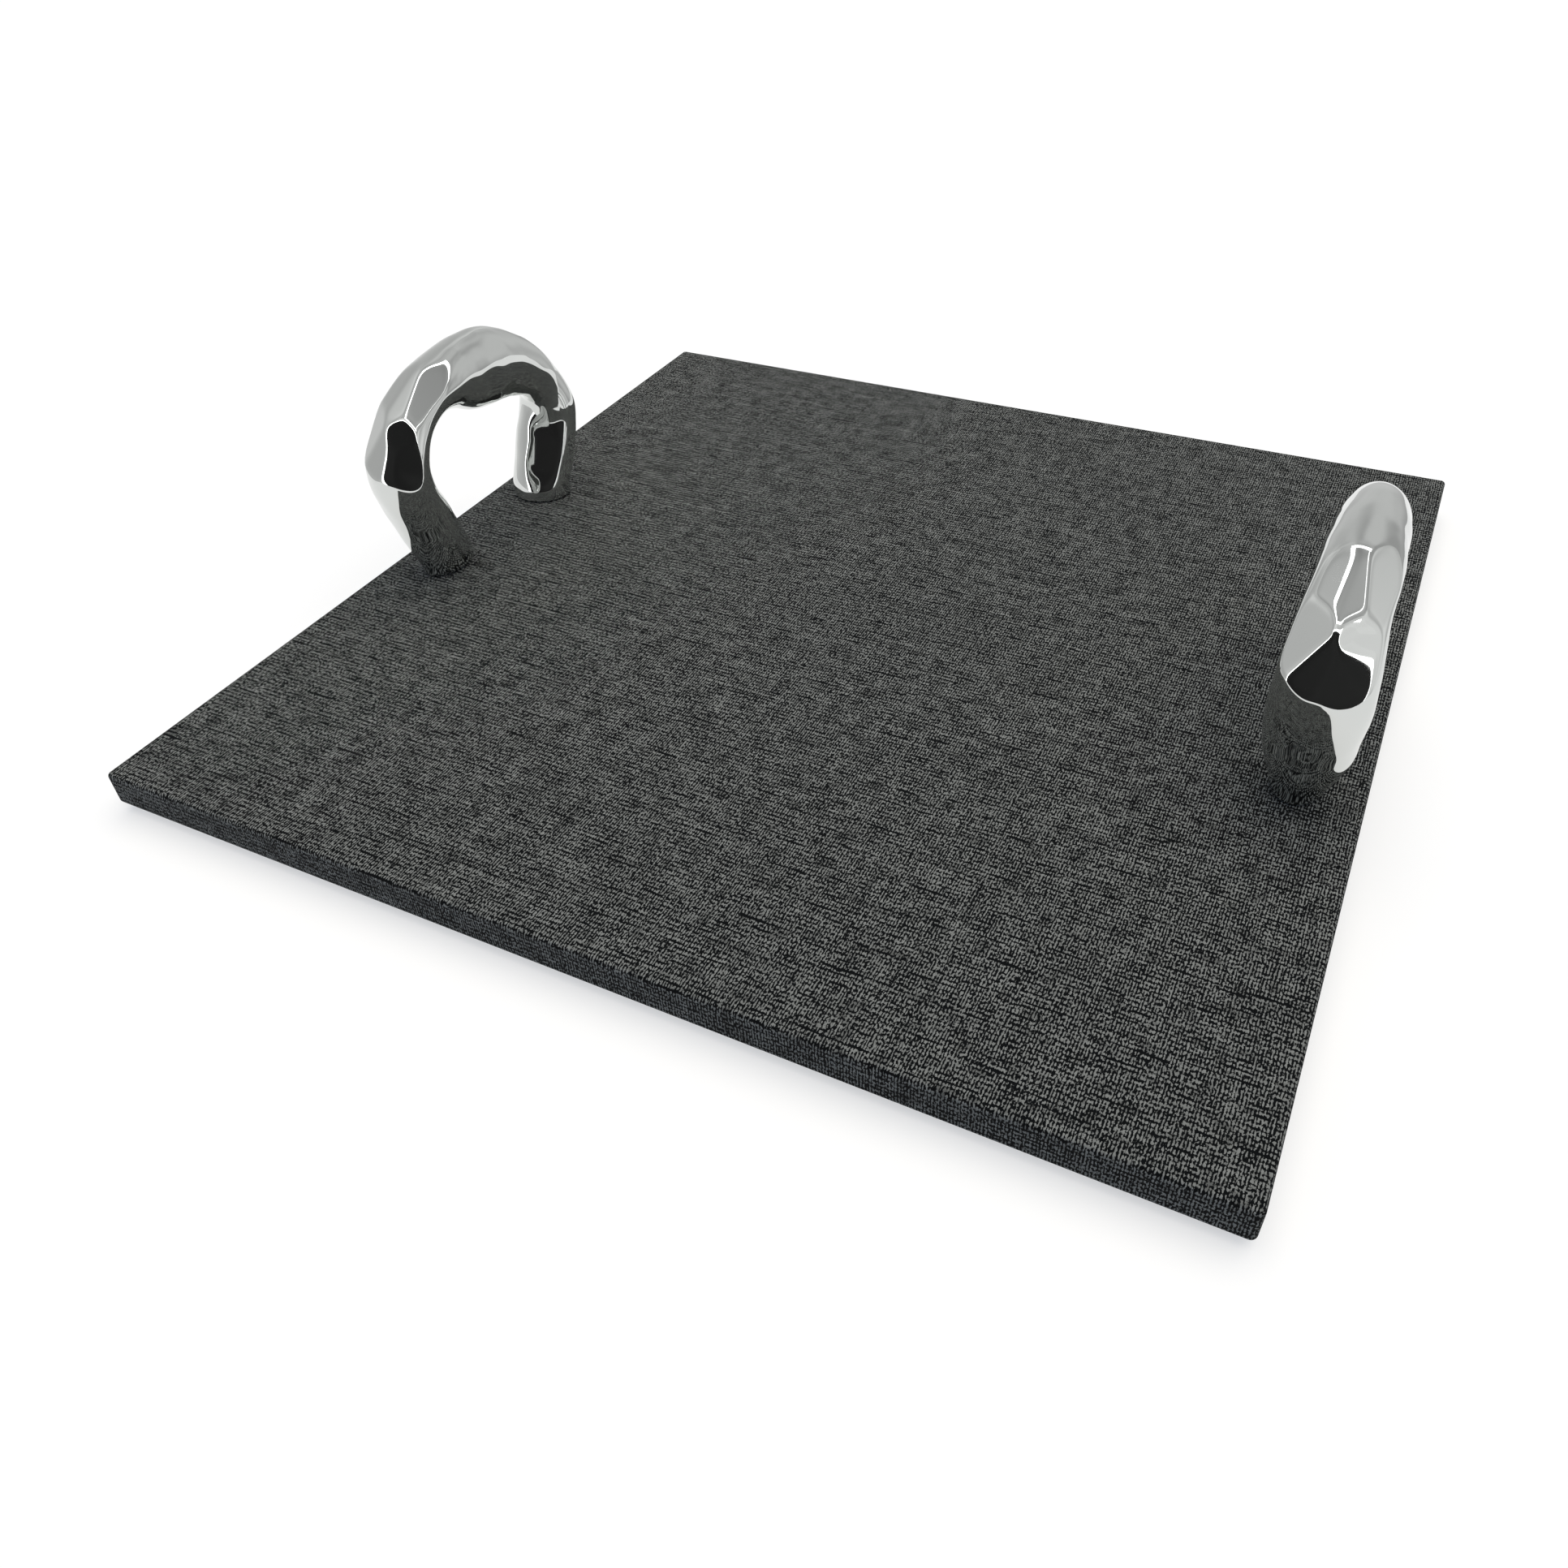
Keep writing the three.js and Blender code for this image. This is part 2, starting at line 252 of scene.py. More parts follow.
def make_woven_grain():
    nodes, given, result = new_group(
        "woven_grain", "ShaderNodeTree",
        {
            "Place": ("Vector", None),
            "Warp Pitch": ("Float", WARP_PITCH),
            "Weft Pitch": ("Float", WEFT_PITCH),
            "Wander": ("Float", 0.9),
            "Grit": ("Float", 0.65),
            "Dash Depth": ("Float", 1.0),
        },
        {"Yarn": "Float", "Tone": "Float", "Height": "Float"},
    )
    pitch = nodes.join(given["Warp Pitch"], given["Weft Pitch"], 1.0)
    straight = nodes.vector("DIVIDE", given["Place"], pitch)

    def patches(per_warp, per_weft, detail=2.0):
        """Noise with so many patches to a warp yarn and to a weft yarn."""
        place = nodes.vector("MULTIPLY", straight, (per_warp, per_weft, 1.0))
        return nodes.noise(place, 1.0, detail)

    def drifting(count, per_warp, per_weft):
        """A count of yarns that wanders a little either way."""
        shift = nodes.math("SUBTRACT", patches(per_warp, per_weft), 0.5)
        return nodes.math("MULTIPLY_ADD", shift, given["Wander"], count)

    u, v, _ = nodes.split(straight)
    u = drifting(u, per_warp=0.5, per_weft=0.15)
    v = drifting(v, per_warp=0.05, per_weft=0.6)
    warp = yarn_height(nodes, u, v, swells=0.12, thin=0.27, fat=0.55, level=1.15, swing=0.40)
    weft = yarn_height(nodes, v, u, swells=0.09, thin=0.44, fat=0.66, level=0.92, swing=-0.62)
    height = nodes.math("SMOOTH_MAX", warp, weft, 0.15)

    # Here and there two weft yarns part, and the shade in the gap between them is painted as a dark
    # dash
    gap = nodes.math("ROUND", v)
    beside = nodes.math("ABSOLUTE", nodes.math("SUBTRACT", v, gap))
    place = nodes.vector("MULTIPLY", nodes.join(u, gap), (DASHES_PER_WARP, DASH_APART, 1.0))
    dash = nodes.step(nodes.noise(place, 1.0, 2.0), 0.60, 0.72)
    dash = nodes.math("MULTIPLY", dash, nodes.step(beside, 0.25, 0.05))
    grit = nodes.step(patches(per_warp=1.5, per_weft=1.8), 0.2, 0.8, -1.0, 1.0)
    sag = nodes.step(patches(per_warp=0.12, per_weft=0.4), 0.25, 0.75, -0.1, 0.1)
    level = nodes.math("MULTIPLY_ADD", grit, given["Grit"], height)
    level = nodes.math("ADD", level, sag)
    level = nodes.math("SUBTRACT", level, nodes.math("MULTIPLY", dash, given["Dash Depth"]))

    # Some yarns are lighter than others, and small patches are dull
    weft_tone = patches(per_warp=0.03, per_weft=0.7, detail=1.0)
    warp_tone = patches(per_warp=0.7, per_weft=0.03, detail=1.0)
    tone = nodes.step(nodes.math("ADD", weft_tone, warp_tone), 0.7, 1.3, 0.86, 1.14)
    dull = nodes.step(patches(per_warp=0.12, per_weft=0.35), 0.58, 0.70, 1.0, 0.6)

    # Where this mask falls to 0, the hollows and the dashes get their painted shade
    nodes.feed(result["Yarn"], nodes.step(level, 1.00, 1.36))
    nodes.feed(result["Tone"], nodes.math("MULTIPLY", tone, dull))
    nodes.feed(result["Height"], height)
    return nodes.tree


woven_grain = make_woven_grain()
print("woven grain:", len(woven_grain.nodes), "nodes")

# %% [markdown]
# ## The leatherette's finish
# The yarns are a dull charcoal, and the shade in the hollows is painted nearly black. Colour and
# gloss could be two pictures, but here the grain's own masks mix them, so colour, gloss and relief
# always agree. The wrap's UV map tells the grain how far along the sheet it is.

# %% Leatherette
YARN_COLOUR = (0.188, 0.194, 0.185, 1.0)
# Painted shade: the colour of the hollows between the yarns
HOLLOW_SHADE_COLOUR = (0.002, 0.0025, 0.003, 1.0)
YARN_ROUGHNESS = 0.62
HOLLOW_ROUGHNESS = 0.9
FILM_GLOSS = 0.12
WEAVE_RELIEF = 0.2 * MM
RELIEF_STRENGTH = 0.6


def make_leatherette():
    material, nodes, shader = new_material("woven_leatherette")
    unfolded = nodes.add("ShaderNodeUVMap", uv_map="unfolded").outputs[0]
    grain = use_group(
        nodes, woven_grain, Place=unfolded, Warp_Pitch=WARP_PITCH, Weft_Pitch=WEFT_PITCH,
    )
    tone = nodes.join(*[grain["Tone"]] * 3)
    yarn = nodes.mix(1.0, YARN_COLOUR, tone, "MULTIPLY")
    dullness = nodes.step(grain["Yarn"], 0.0, 1.0, HOLLOW_ROUGHNESS, YARN_ROUGHNESS)
    # The yarn mask mixes the painted shade of the hollows into the colour
    nodes.feed(shader["Base Color"], nodes.mix(grain["Yarn"], HOLLOW_SHADE_COLOUR, yarn))
    nodes.feed(shader["Roughness"], dullness)
    shader["Specular IOR Level"].default_value = FILM_GLOSS
    bump = nodes.add("ShaderNodeBump", {
        "Strength": RELIEF_STRENGTH, "Distance": WEAVE_RELIEF, "Height": grain["Height"],
    })
    nodes.feed(shader["Normal"], bump.outputs[0])
    return material


leatherette = make_leatherette()
print("made", leatherette.name)

# %% [markdown]
# ## Felt, rubber and fibreboard
# The lining, the pads and the core are plain materials: specks of two shades, in different sizes.
# Each could have a tree of its own, but one shared group with a named grain size is shorter and
# keeps them alike.

# %% Speckle group
COARSE_SHARE = 0.13


def make_speckle():
    nodes, given, result = new_group(
        "speckle", "ShaderNodeTree",
        {"Place": ("Vector", None), "Grain Size": ("Float", 1 * MM)},
        {"Mask": "Float", "Height": "Float"},
    )
    scale = nodes.math("DIVIDE", 1.0, given["Grain Size"])
    coarse_scale = nodes.math("MULTIPLY", scale, COARSE_SHARE)
    fine = nodes.noise(given["Place"], scale, 3.0, "3D")
    coarse = nodes.noise(given["Place"], coarse_scale, 2.0, "3D")
    both = nodes.math("MULTIPLY_ADD", coarse, 0.5, nodes.math("MULTIPLY", fine, 0.5))
    nodes.feed(result["Mask"], nodes.step(both, 0.35, 0.65))
    nodes.feed(result["Height"], fine)
    return nodes.tree


speckle = make_speckle()
print("group", speckle.name, "with", len(speckle.nodes), "nodes")

# %% Speckled finishes
SPECKLED_GLOSS = 0.2


def place_on_object(nodes):
    return nodes.add("ShaderNodeTexCoord").outputs["Object"]


def make_speckled(name, dark, light, grain_size, relief, roughness):
    material, nodes, shader = new_material(name)
    grain = use_group(nodes, speckle, Place=place_on_object(nodes), Grain_Size=grain_size)
    nodes.feed(shader["Base Color"], nodes.mix(grain["Mask"], (*dark, 1.0), (*light, 1.0)))
    shader["Roughness"].default_value = roughness
    shader["Specular IOR Level"].default_value = SPECKLED_GLOSS
    bump = nodes.add("ShaderNodeBump", {"Distance": relief, "Height": grain["Height"]})
    nodes.feed(shader["Normal"], bump.outputs[0])
    return material


felt = make_speckled(
    "black_felt", dark=(0.008,) * 3, light=(0.028,) * 3,
    grain_size=0.5 * MM, relief=0.25 * MM, roughness=1.0,
)
rubber = make_speckled(
    "pad_rubber", dark=(0.007,) * 3, light=(0.012,) * 3,
    grain_size=0.3 * MM, relief=0.02 * MM, roughness=0.75,
)
fibreboard = make_speckled(
    "pressed_fibreboard", dark=(0.26, 0.17, 0.09), light=(0.42, 0.30, 0.18),
    grain_size=0.8 * MM, relief=0.05 * MM, roughness=0.9,
)
print("made", felt.name, rubber.name, fibreboard.name)

# %% [markdown]
# ## Bright metal
# The handles are plated and polished, and the screws are zinc. Metal has hardly any colour of its
# own, so its finish is mostly roughness, and one even number looks false: a film from hands makes
# bright metal duller in patches. Both metals share a group that gives those patches.

# %% Smudge group


def make_smudges():
    nodes, given, result = new_group(
        "smudges", "ShaderNodeTree",
        {"Place": ("Vector", None), "Patch Size": ("Float", 20 * MM)},
        {"Mask": "Float"},
    )
    scale = nodes.math("DIVIDE", 1.0, given["Patch Size"])
    patches = nodes.noise(given["Place"], scale, 4.0, "3D")
    nodes.feed(result["Mask"], nodes.step(patches, 0.45, 0.75))
    return nodes.tree


smudges = make_smudges()
print("group", smudges.name, "with", len(smudges.nodes), "nodes")

# %% Bright plating and zinc


def make_metal(name, colour, clean, smudged, patch_size):
    """A metal whose roughness goes from clean to smudged."""
    material, nodes, shader = new_material(name)
    film = use_group(nodes, smudges, Place=place_on_object(nodes), Patch_Size=patch_size)
    shader["Base Color"].default_value = (*colour, 1.0)
    shader["Metallic"].default_value = 1.0
    nodes.feed(shader["Roughness"], nodes.step(film["Mask"], 0.0, 1.0, clean, smudged))
    return material


chrome = make_metal(
    "bright_plating", (0.63, 0.645, 0.63), clean=0.03, smudged=0.07, patch_size=25 * MM,
)
zinc = make_metal("zinc_plating", (0.55, 0.56, 0.58), clean=0.3, smudged=0.5, patch_size=3 * MM)
print("made", chrome.name, zinc.name)

# %% [markdown]
# ## The leatherette wrap
# One sheet goes over the top, down the sides and 14 mm under, where it is glued. Its edges are
# only as sharp as the sheet allows. A bevelled box would do from afar, but a sheet has a thickness
# and a raw edge, so the wrap is made from rings: rounded squares, each a little further along the
# sheet, joined into a skin. The same distance along the sheet becomes the UV map, so the weave
# runs over the edge unbroken, as on a sheet that is folded down.

# %% Rings of a wrapped board
CORNER_STEPS = 8


def rounded_ring(half_side, radius, z):
    """Points round a square with rounded corners."""
    ring = []
    for quarter, (sx, sy) in enumerate(((1, 1), (-1, 1), (-1, -1), (1, -1))):
        for step in range(CORNER_STEPS + 1):
            angle = math.radians(90) * (quarter + step / CORNER_STEPS)
            x = sx * (half_side - radius) + radius * math.cos(angle)
            y = sy * (half_side - radius) + radius * math.sin(angle)
            ring.append(Vector((x, y, z)))
    return ring


def skin_over(bm, rings):
    """Quads between rings of as many points, with the first and the last ring closed."""
    loops = [[bm.verts.new(point) for point in ring] for ring in rings]
    count = len(rings[0])
    for lower, upper in zip(loops, loops[1:]):
        for i in range(count):
            j = (i + 1) % count
            bm.faces.new((lower[i], lower[j], upper[j], upper[i]))
    bm.faces.new(reversed(loops[0]))
    bm.faces.new(loops[-1])
    return loops


def made_mesh(name, bm):
    """The finished mesh of a bmesh, which is freed."""
    mesh = bpy.data.meshes.new(name)
    bm.to_mesh(mesh)
    bm.free()
    return mesh


print("points in a ring:", 4 * (CORNER_STEPS + 1))

# %% Profile of the wrap
cover_low, cover_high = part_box("leatherette_cover")
HALF_BOARD = cover_high.x
WRAP_BOTTOM, BOARD_TOP = cover_low.z, cover_high.z
SHEET_THICKNESS = 0.6 * MM
EDGE_RADIUS = 1.6 * MM
EDGE_STEPS = 6
CORNER_RADIUS = 2.0 * MM
HEM_WIDTH = 14 * MM
WINDOW_RADIUS = 5 * MM
# A ring this far from the rounding and the raw edge keeps the flat faces evenly shaded
SUPPORT = 1.0 * MM


def wrap_profile(depth):
    """(inset, z, corner radius) along a face of the sheet, from its flat top to its raw edge."""
    edge = EDGE_RADIUS - depth
    top, bottom = BOARD_TOP - depth, WRAP_BOTTOM + depth
    corner = CORNER_RADIUS - EDGE_RADIUS
    profile = [(EDGE_RADIUS + SUPPORT, top, corner)]
    for step in range(EDGE_STEPS + 1):
        angle = math.radians(90) * step / EDGE_STEPS
        out = edge * math.sin(angle)
        profile.append((EDGE_RADIUS - out, top - edge * (1 - math.cos(angle)), corner + out))
    for inset, z, radius in reversed(profile[1:]):
        profile.append((inset, bottom + top - z, radius))
    profile.append((HEM_WIDTH - SUPPORT, bottom, WINDOW_RADIUS + SUPPORT))
    profile.append((HEM_WIDTH, bottom, WINDOW_RADIUS))
    return profile


def lengths_along(profile):
    along = [0.0]
    for (inset, z, _), (inset_2, z_2, _) in zip(profile, profile[1:]):
        along.append(along[-1] + math.hypot(inset_2 - inset, z_2 - z))
    return along


HALF_FLAT = HALF_BOARD - EDGE_RADIUS - SUPPORT

# %% Leatherette wrap


def unfold(bm, reach):
    """Lays the sheet flat in the UV map, in metres: each side folds out beyond the flat top."""
    uv = bm.loops.layers.uv.new("unfolded")
    for face in bm.faces:
        centre = face.calc_center_median()
        beyond = max(reach[v] for v in face.verts) > 0
        sideways = abs(centre.x) > abs(centre.y)
        for loop in face.loops:
            x, y, _ = loop.vert.co
            if beyond:
                out = HALF_FLAT + reach[loop.vert]
                if sideways:
                    x = math.copysign(out, centre.x)
                else:
                    y = math.copysign(out, centre.y)
            loop[uv].uv = (x, y)


def make_wrap():
    bm = bmesh.new()
    outer, inner = wrap_profile(0.0), wrap_profile(SHEET_THICKNESS)
    # Along the inside from the top to the raw edge, and back over the outside
    faces = [*inner, *reversed(outer)]
    along = [*lengths_along(inner), *reversed(lengths_along(outer))]
    rings = [rounded_ring(HALF_BOARD - inset, radius, z) for inset, z, radius in faces]
    loops = skin_over(bm, rings)
    unfold(bm, {vert: length for loop, length in zip(loops, along) for vert in loop})
    for face in bm.faces:
        face.smooth = True
    return made_mesh("leatherette_wrap", bm)


def finished_piece(name, mesh, material, slot, *solids):
    """A piece in its place, which rides on the tray and stands for these solids."""
    piece = add_object(name, mesh)
    if not mesh.materials:
        mesh.materials.append(material)
    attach(piece, "root")
    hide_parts(*solids)
    mesh.calc_loop_triangles()
    print(name, "has", len(mesh.loop_triangles), "triangles")
    return piece


wrap = finished_piece(
    "leatherette_wrap", make_wrap(), leatherette, "leatherette", "leatherette_cover",
)

# %% [markdown]
# ## The felt lining
# A felt sheet covers the raw edge of the hem and fills the window inside it. It could be a plain
# slab, but its softly cut edge shows from below, so it is a second set of rings.

# %% Felt lining
lining_low, lining_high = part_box("underside_lining")
LINING_THICKNESS = 1.0 * MM
LINING_CORNER = 5 * MM
WINDOW_GAP = 0.3 * MM
FELT_EDGE = 0.3 * MM


def make_lining():
    half, bottom = lining_high.x, lining_low.z
    in_window = HALF_BOARD - HEM_WIDTH - WINDOW_GAP
    face = bottom + LINING_THICKNESS
    outline = [
        (half - FELT_EDGE, bottom, LINING_CORNER - FELT_EDGE),
        (half, bottom + FELT_EDGE, LINING_CORNER),
        (half, face - FELT_EDGE, LINING_CORNER),
        (half - FELT_EDGE, face, LINING_CORNER - FELT_EDGE),
        (in_window, face, LINING_CORNER),
        (in_window, lining_high.z, LINING_CORNER),
    ]
    bm = bmesh.new()
    skin_over(bm, [rounded_ring(half_side, radius, z) for half_side, z, radius in outline])
    return made_mesh("felt_lining", bm)


lining = finished_piece("felt_lining", make_lining(), felt, "felt", "underside_lining")

# %% [markdown]
# ## The cast handles
# Each handle is one cast arch, plated and polished. Its bar is thick over the crown and drawn in
# towards the feet. It has a few flats, which meet in ridges, and a slightly uneven skin between
# them, so it mirrors the room in patches. It could be sculpted, but a rule describes it better: an
# oval section that changes along a centre line, then a plane pressed against it for each flat. The
# line goes through a few stations, which carry the section's sizes.

# %% Stations of the arch
# y and z on the centre line, then the bar's thickness in the arch and its width across it, in mm
FRONT_FOOT = (-35, 0, 26, 18)
FRONT_KNEE = (-44, 23, 21, 29)
FRONT_HIP = (-51, 52, 19, 30)
FRONT_SHOULDER = (-30, 72, 18, 25)
CROWN = (4, 70, 32, 24)
BACK_SHOULDER = (28, 62, 26, 19)
BACK_HIP = (42, 51, 20, 20)
BACK_KNEE = (46, 34, 20, 28)
BACK_FOOT = (31, 0, 24, 27)
STATIONS = (
    FRONT_FOOT, FRONT_KNEE, FRONT_HIP, FRONT_SHOULDER, CROWN,
    BACK_SHOULDER, BACK_HIP, BACK_KNEE, BACK_FOOT,
)


def make_centre_line():
    mesh = bpy.data.meshes.new("handle_centre_line")
    points = [(0.0, y * MM, z * MM) for y, z, _, _ in STATIONS]
    mesh.from_pydata(points, [(i, i + 1) for i in range(len(points) - 1)], [])
    for name, column in (("thick", 2), ("wide", 3)):
        values = mesh.attributes.new(name, "FLOAT", "POINT").data
        for value, station in zip(values, STATIONS):
            value.value = station[column] * MM
    return mesh


centre_line = make_centre_line()
print("centre line through", len(centre_line.vertices), "stations")

# %% [markdown]
# ## From stations to a casting
# Geometry Nodes bends a cylinder along the centre line: each of its rings is carried to its share
# of the line and takes the section that the stations give there. Curve to Mesh would only scale one
# profile, so the rings are placed by sums instead. Both ends turn upright, so the feet stand flat.
# A slow noise then moves the skin in and out.

# %% Centre line as a curve
CURVE_STEPS = 32
# Share of the line over which a foot turns upright
LEVEL_SHARE = 0.10


def smooth_line(nodes, given):
    line = nodes.add("GeometryNodeMeshToCurve", {0: given["Centre Line"]}).outputs[0]
    line = nodes.add("GeometryNodeCurveSplineType", {0: line}, spline_type="CATMULL_ROM").outputs[0]
    return nodes.add(
        "GeometryNodeSetSplineResolution", {0: line, "Resolution": CURVE_STEPS},
    ).outputs[0]


def read_line(nodes, line, size, share):
    """The line's place and direction, and one of its sizes, at a share of its length."""
    named = nodes.add("GeometryNodeInputNamedAttribute", {"Name": size}, data_type="FLOAT")
    return nodes.add(
        "GeometryNodeSampleCurve",
        {"Curves": line, "Value": named.outputs[0], "Factor": share},
        mode="FACTOR", data_type="FLOAT", use_all_curves=False,
    ).outputs


def outward_from(nodes, tangent, share):
    """The way out of the arch. Both ends turn upright, so that their rings are level."""
    level_front = nodes.step(share, LEVEL_SHARE, 0.0)
    level_back = nodes.step(share, 1.0 - LEVEL_SHARE, 1.0)
    upright = nodes.join(0.0, 0.0, nodes.math("SUBTRACT", level_front, level_back))
    unlevelled = nodes.math("SUBTRACT", 1.0, nodes.math("ADD", level_front, level_back))
    direction = nodes.vector("ADD", nodes.scaled(tangent, unlevelled), upright)
    _, run, rise = nodes.split(nodes.vector("NORMALIZE", direction))
    return nodes.join(0.0, nodes.math("MULTIPLY", rise, -1.0), run)


print("curve with", CURVE_STEPS, "steps from station to station")

# %% Bar along the centre line
RINGS = 280
SIDES = 120
# Size of a foot's lowest ring, as a share of the section there
FOOT_EASE = 0.92
# How far a leg is moved out at the board, as a share of the ankle's height
ANKLE_LEAN = 0.2


def bend_bar(nodes, given):
    """A cylinder whose rings are carried to their places along the line."""
    line = smooth_line(nodes, given)
    bar = nodes.add("GeometryNodeMeshCylinder", {
        "Vertices": given["Sides"], "Side Segments": given["Rings"], "Radius": 1.0, "Depth": 1.0,
    }, fill_type="NGON").outputs["Mesh"]
    out, across, up = nodes.split(nodes.add("GeometryNodeInputPosition").outputs[0])
    share = nodes.math("ADD", up, 0.5)
    thick = read_line(nodes, line, "thick", share)
    wide = read_line(nodes, line, "wide", share)

    # The lowest edge of each foot is eased a little
    end = nodes.math("ABSOLUTE", up)
    half = nodes.step(end, 0.5 - 1.0 / RINGS, 0.5, 0.5, 0.5 * FOOT_EASE)
    half_thick = nodes.math("MULTIPLY", nodes.math("MULTIPLY", thick["Value"], half), out)
    half_wide = nodes.math("MULTIPLY", nodes.math("MULTIPLY", wide["Value"], half), across)
    outward = outward_from(nodes, thick["Tangent"], share)
    place = nodes.vector("ADD", thick["Position"], nodes.scaled(outward, half_thick))
    place = nodes.vector("ADD", place, nodes.join(half_wide, 0.0, 0.0))

    # Just above the board the legs stand upright
    _, y, z = nodes.split(place)
    low = nodes.math("SUBTRACT", 1.0, nodes.math("DIVIDE", z, given["Ankle"]), clamp=True)
    shift = nodes.math("MULTIPLY", nodes.math("MULTIPLY", low, low), nodes.math("SIGN", y))
    shift = nodes.math("MULTIPLY", shift, nodes.math("MULTIPLY", given["Ankle"], ANKLE_LEAN))
    place = nodes.vector("ADD", place, nodes.join(0.0, shift, 0.0))
    return nodes.add("GeometryNodeSetPosition", {"Geometry": bar, "Position": place}).outputs[0]


print("a casting has", RINGS, "rings of", SIDES, "points")

# %% Uneven skin and shading
SOLE_HEIGHT = 6 * MM
CREASE_ANGLE = math.radians(50)


def swell_skin(nodes, given, casting):
    """A slow swell of the skin, which dies away towards the soles."""
    point = nodes.add("GeometryNodeInputPosition").outputs[0]
    swell = nodes.noise(point, nodes.math("DIVIDE", 1.0, given["Wave"]), 1.0, "3D")
    swell = nodes.math("MULTIPLY", nodes.math("SUBTRACT", swell, 0.5), given["Unevenness"])
    swell = nodes.math("MULTIPLY", swell, nodes.step(nodes.split(point)[2], 0.0, SOLE_HEIGHT))
    normal = nodes.add("GeometryNodeInputNormal").outputs[0]
    return nodes.add(
        "GeometryNodeSetPosition", {"Geometry": casting, "Offset": nodes.scaled(normal, swell)},
    ).outputs[0]


def shade_casting(nodes, casting):
    """Smooth all over, apart from the edge round each sole."""
    casting = nodes.add("GeometryNodeSetShadeSmooth", {0: casting}, domain="FACE").outputs[0]
    turn = nodes.add("GeometryNodeInputMeshEdgeAngle").outputs[0]
    crease = nodes.math("GREATER_THAN", turn, CREASE_ANGLE)
    return nodes.add(
        "GeometryNodeSetShadeSmooth",
        {"Geometry": casting, "Selection": crease, "Shade Smooth": False}, domain="EDGE",
    ).outputs[0]


print("edges that turn by more than", round(math.degrees(CREASE_ANGLE)), "degrees stay sharp")

# %% [markdown]
# ## Flats on the legs
# Grinding leaves flats, and each of them mirrors one thing. A flat could be cut with a boolean,
# but that leaves a sharp edge and long thin faces. Pressing is gentler: each point that stands
# proud of a plane is pushed back onto it, and less so further away, so the mesh keeps its faces
# and the ridges keep a small round. Work by hand leaves no two castings quite alike, so each
# handle also gets one flat of its own.

# %% Flats
# A place on the flat in the handle's own frame, in mm, the way it faces, and its reach in mm
FLATS = {
    "shoulder, left": ((-4.8, -37.5, 76.2), (-0.30, -0.45, 0.84), 30),
    "shoulder, right": ((7.5, -33.4, 76.4), (0.55, -0.33, 0.77), 26),
    "shoulder, ridge": ((0.7, -38.7, 76.5), (0.02, -0.50, 0.87), 26),
    "leg, upper left": ((-3.8, -55.1, 61.5), (-0.50, -0.65, 0.57), 34),
    "leg, upper right": ((7.4, -52.5, 62.6), (0.33, -0.77, 0.55), 30),
    "leg, lower left": ((-4.0, -56.2, 57.8), (-0.20, -0.87, 0.45), 36),
    "leg, lower right": ((4.1, -57.0, 56.5), (0.20, -0.90, 0.39), 36),
    "back leg, inside": ((5.5, 31.8, 20.6), (0.37, -0.80, 0.44), 20),
}
FLAT_SOFTNESS = 1.0 * MM
# The flat that only one handle has, with that handle's side first: -1 is left, 1 is right
LONE_FLATS = {
    "leg, lower inside": (-1, (10.9, -52.2, 59.8), (0.49, -0.815, 0.313), 18),
    "leg, top outside": (1, (8.7, -51.5, 63.2), (0.30, -0.685, 0.665), 16),
}
LONE_SOFTNESS = 0.5 * MM
# A flat is pressed in full within this share of its reach
FULL_SHARE = 0.4


def make_pressed_flat():
    nodes, given, result = new_group(
        "pressed_flat", "GeometryNodeTree",
        {
            "Geometry": ("Geometry", None),
            "Place": ("Vector", None),
            "Facing": ("Vector", None),
            "Softness": ("Float", FLAT_SOFTNESS),
            "Reach": ("Float", 40 * MM),
        },
        {"Geometry": "Geometry"},
    )
    facing = nodes.vector("NORMALIZE", given["Facing"])
    point = nodes.add("GeometryNodeInputPosition").outputs[0]
    away = nodes.vector("SUBTRACT", point, given["Place"])
    proud = nodes.vector("DOT_PRODUCT", away, facing)
    pressed = nodes.math("SMOOTH_MAX", proud, 0.0, given["Softness"])
    full = nodes.math("MULTIPLY", given["Reach"], FULL_SHARE)
    near = nodes.step(nodes.vector("LENGTH", away), given["Reach"], full)
    push = nodes.scaled(facing, nodes.math("MULTIPLY", nodes.math("MULTIPLY", pressed, near), -1.0))
    moved = nodes.add("GeometryNodeSetPosition", {"Geometry": given["Geometry"], "Offset": push})
    nodes.feed(result["Geometry"], moved.outputs[0])
    return nodes.tree


pressed_flat = make_pressed_flat()
print("flats to press:", "; ".join((*FLATS, *LONE_FLATS)))

# %% Handle tree
handle_low, handle_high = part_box("handle_left")
HANDLE_X = abs(handle_low.x + handle_high.x) / 2


def press(nodes, geometry, flat, softness, origin=Vector()):
    centre, facing, reach = flat
    return nodes.add("GeometryNodeGroup", node_tree=pressed_flat, inputs={
        "Geometry": geometry,
        "Place": origin + Vector(centre) * MM,
        "Facing": Vector(facing),
        "Softness": softness,
        "Reach": reach * MM,
    }).outputs[0]


